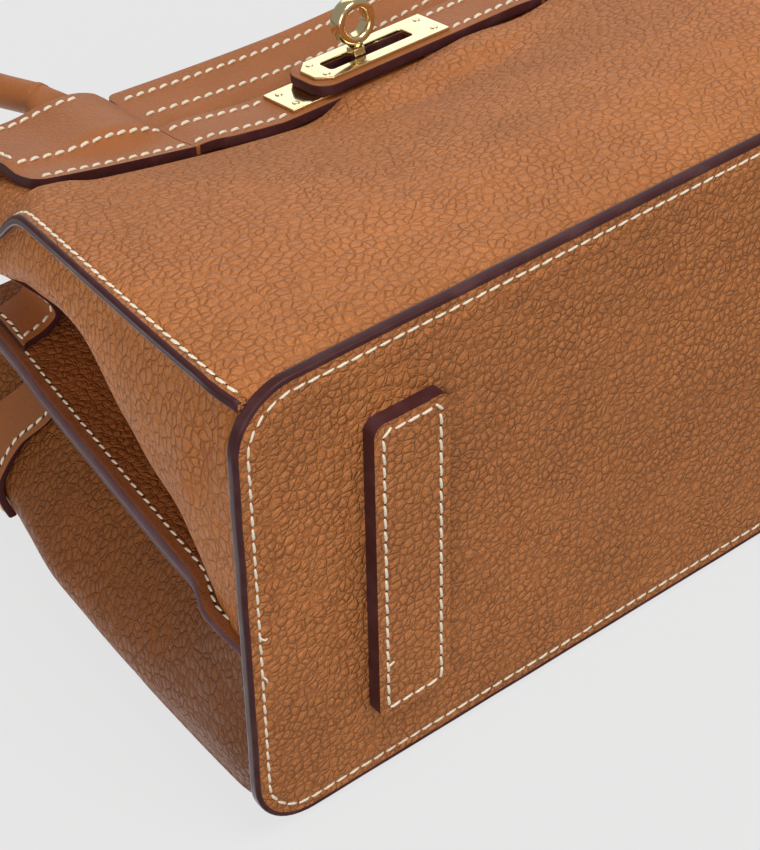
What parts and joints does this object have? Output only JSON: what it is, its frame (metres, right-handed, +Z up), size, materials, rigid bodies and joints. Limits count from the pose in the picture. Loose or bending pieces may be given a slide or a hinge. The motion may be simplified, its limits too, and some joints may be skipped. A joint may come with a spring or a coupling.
{
  "type": "belted satchel bag",
  "caption": "Structured leather satchel with belted front, turning ring lock, folded gussets, two rolled handles, foot strips and a lined inside with pockets.",
  "frame": {"origin": "centre of the bounding box in plan, at the underside of the foot strips", "axes": "+X to the right and -Y out of the front as seen from the front, +Z up"},
  "size_m": [0.25, 0.13, 0.2547],
  "materials": {
    "leather_tan": "pebbled, satin",
    "edge_paint": "glossy painted edge",
    "lining": "smooth, matt",
    "board": "fibre board, matt",
    "brass_plate": "polished pale gold"
  },
  "bodies": {
    "bag": {"bottom_panel": "leather_tan", "foot_strip_left": "leather_tan", "foot_strip_right": "leather_tan", "front_panel": "leather_tan", "back_panel": "leather_tan", "gusset_left_front": "leather_tan", "gusset_left_back": "leather_tan", "gusset_right_front": "leather_tan", "gusset_right_back": "leather_tan", "rim_band_front": "leather_tan", "rim_band_back": "leather_tan", "wing_left": "leather_tan", "wing_right": "leather_tan", "side_strap_left_front": "leather_tan", "side_strap_left_back": "leather_tan", "side_strap_right_front": "leather_tan", "side_strap_right_back": "leather_tan", "handle_tabs_front": "leather_tan", "handle_tabs_back": "leather_tan", "handle_roots_front": "leather_tan", "handle_roots_back": "leather_tan", "base_welt": "edge_paint", "gusset_seam_left": "edge_paint", "gusset_seam_right": "edge_paint", "front_seam_left": "edge_paint", "front_seam_right": "edge_paint", "back_seam_left": "edge_paint", "back_seam_right": "edge_paint", "lining_floor": "lining", "lining_front": "lining", "lining_back": "lining", "lining_left": "lining", "lining_right": "lining", "slip_pocket": "lining", "zip_pocket": "lining", "bottom_board": "board", "lock_base": "brass_plate", "lock_post": "brass_plate", "zip_coil": "brass_plate"},
    "lock_ring_body": {"lock_ring": "brass_plate"},
    "strap_right_body": {"strap_right": "leather_tan", "strap_plate_right": "brass_plate", "plate_pins_right": "brass_plate"},
    "strap_left_body": {"strap_left": "leather_tan", "strap_plate_left": "brass_plate", "plate_pins_left": "brass_plate"},
    "handle_front_body": {"handle_front": "leather_tan"},
    "handle_back_body": {"handle_back": "leather_tan"},
    "zip_slider_body": {"zip_slider": "brass_plate"},
    "zip_puller_body": {"zip_puller": "brass_plate"}
  },
  "joints": [
    {"name": "ring_turn", "type": "hinge", "parent": "bag", "child": "lock_ring_body", "pos_m": [0, -0.05273, 0.12306], "axis": [0, -0.9903, 0.1392], "range_deg": [0, 90]},
    {"name": "strap_right_swing", "type": "hinge", "parent": "bag", "child": "strap_right_body", "pos_m": [0.057, -0.04314, 0.12171], "axis": [0, 0.1392, 0.9903], "range_deg": [0, 140]},
    {"name": "strap_left_swing", "type": "hinge", "parent": "bag", "child": "strap_left_body", "pos_m": [-0.057, -0.04314, 0.12171], "axis": [0, -0.1392, -0.9903], "range_deg": [0, 70]},
    {"name": "handle_front_tilt", "type": "hinge", "parent": "bag", "child": "handle_front_body", "pos_m": [0, -0.03908, 0.162], "axis": [1, 0, 0], "range_deg": [-12, 100]},
    {"name": "handle_back_tilt", "type": "hinge", "parent": "bag", "child": "handle_back_body", "pos_m": [0, 0.05845, 0.162], "axis": [-1, 0, 0], "range_deg": [-30, 90]},
    {"name": "zip_slide", "type": "slide", "parent": "bag", "child": "zip_slider_body", "axis": [1, 0, 0], "range_m": [0, 0.122]},
    {"name": "puller_swing", "type": "hinge", "parent": "zip_slider_body", "child": "zip_puller_body", "pos_m": [-0.061, 0.05394, 0.116], "axis": [-1, 0, 0], "range_deg": [-4, 165]}
  ],
  "couplings": [
    {"joint": "strap_left_swing", "follows": "strap_right_swing", "ratio": 0.48}
  ]
}
